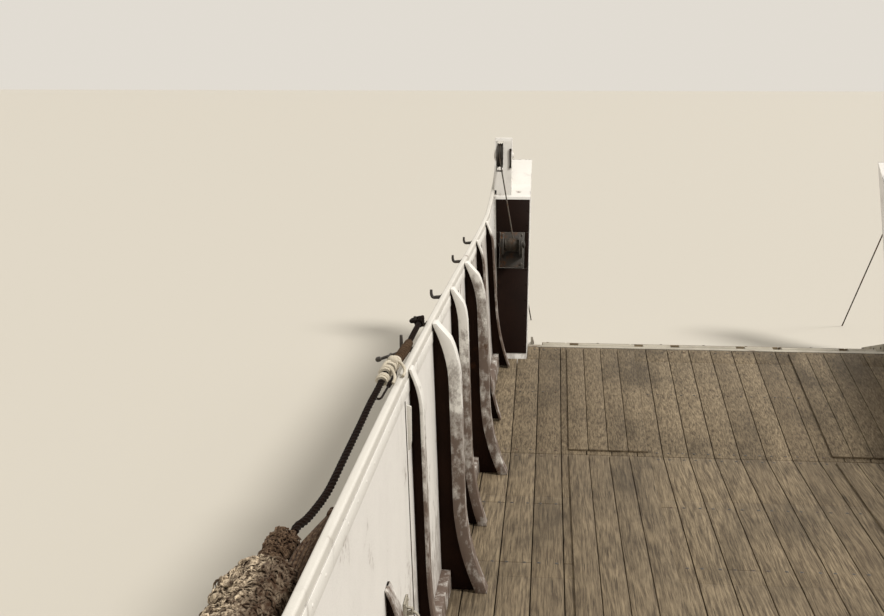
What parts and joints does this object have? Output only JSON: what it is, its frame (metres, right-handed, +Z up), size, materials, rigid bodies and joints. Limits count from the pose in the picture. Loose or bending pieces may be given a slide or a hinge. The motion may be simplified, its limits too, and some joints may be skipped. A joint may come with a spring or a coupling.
{
  "type": "landing craft",
  "caption": "Steel landing craft afloat with a lowered bow ramp, open troop well with knee frames, stern deck with helm, hatch lids, winch and anchor, and a rope fender over the side.",
  "frame": {"origin": "on the floor under the keels, below the middle of the whole craft with its ramp lowered", "axes": "+Z up, +Y towards the bow, +X to starboard"},
  "size_m": [3.6644, 14.6649, 2.15],
  "materials": {
    "hull_paint": "matt, weathered warm grey paint",
    "bottom_paint": "matt bottom paint with fouling",
    "deck_paint": "matt non-slip deck paint",
    "timber": "bare greyed planks",
    "dark_steel": "oily dark steel with rust",
    "bronze": "dull cast bronze",
    "rope": "laid fibre rope, wet and dark"
  },
  "bodies": {
    "hull": {"hull_aft": "hull_paint", "hull_bottom": "bottom_paint", "side_plating_starboard": "hull_paint", "side_plating_port": "hull_paint", "bow_cheek_starboard": "hull_paint", "bow_cheek_port": "hull_paint", "keel_shoe_starboard": "dark_steel", "keel_shoe_port": "dark_steel", "skeg": "dark_steel", "gunwale_cap_starboard": "hull_paint", "gunwale_cap_port": "hull_paint", "gunwale_cap_stern": "hull_paint", "rub_rail_starboard": "dark_steel", "rub_rail_port": "dark_steel", "rub_rail_stern": "dark_steel", "side_frames_aft_starboard": "hull_paint", "side_frames_aft_port": "hull_paint", "side_frames_fore_starboard": "hull_paint", "side_frames_fore_port": "hull_paint", "well_floor": "timber", "bow_floor": "timber", "bow_sill": "hull_paint", "ramp_hinge_pin": "dark_steel", "engine_bulkhead": "hull_paint", "boarding_step": "timber", "well_ladder": "hull_paint", "stern_deck": "deck_paint", "helm_cockpit": "deck_paint", "engine_casing": "deck_paint", "engine_block": "dark_steel", "helm_pedestal": "dark_steel", "helm_shield": "hull_paint", "bollards_aft_starboard": "dark_steel", "bollards_aft_port": "dark_steel", "ventilator_starboard": "deck_paint", "ventilator_port": "deck_paint", "exhaust_stack": "dark_steel", "stern_winch_frame": "dark_steel", "kedge_anchor": "dark_steel", "ramp_winch_starboard": "dark_steel", "ramp_winch_port": "dark_steel", "fender_starboard": "rope", "fender_port": "rope", "fender_rope": "rope"},
    "ramp": {"ramp_panel": "hull_paint", "ramp_treads": "timber"},
    "propeller": {"propeller": "bronze"},
    "rudder": {"rudder": "dark_steel"},
    "helm_wheel": {"helm_wheel": "timber"},
    "engine_lid_port": {"engine_lid_port": "deck_paint"},
    "engine_lid_starboard": {"engine_lid_starboard": "deck_paint"},
    "stern_winch_drum": {"stern_winch_drum": "dark_steel"}
  },
  "joints": [
    {"name": "ramp_hinge", "type": "hinge", "parent": "hull", "child": "ramp", "pos_m": [0, 5.6275, 0.56], "axis": [1, 0, 0], "range_deg": [0, 78]},
    {"name": "propeller_spin", "type": "hinge", "parent": "hull", "child": "propeller", "pos_m": [0, -6.0325, 0.33], "axis": [0, 1, 0], "continuous": true},
    {"name": "rudder_steer", "type": "hinge", "parent": "hull", "child": "rudder", "pos_m": [0, -6.7225, 0.7], "axis": [0, 0, 1], "range_deg": [-35, 35]},
    {"name": "helm_turn", "type": "hinge", "parent": "hull", "child": "helm_wheel", "pos_m": [0, -5.1775, 1.65], "axis": [0, 1, 0], "range_deg": [-450, 450]},
    {"name": "engine_lid_port_hinge", "type": "hinge", "parent": "hull", "child": "engine_lid_port", "pos_m": [-0.722, -3.5725, 1.462], "axis": [0, -1, 0], "range_deg": [0, 100]},
    {"name": "engine_lid_starboard_hinge", "type": "hinge", "parent": "hull", "child": "engine_lid_starboard", "pos_m": [0.722, -3.5725, 1.462], "axis": [0, 1, 0], "range_deg": [0, 100]},
    {"name": "stern_winch_spin", "type": "hinge", "parent": "hull", "child": "stern_winch_drum", "pos_m": [0.65, -6.7125, 1.55], "axis": [1, 0, 0], "continuous": true}
  ],
  "couplings": [
    {"joint": "helm_turn", "follows": "rudder_steer", "ratio": 12.857}
  ]
}
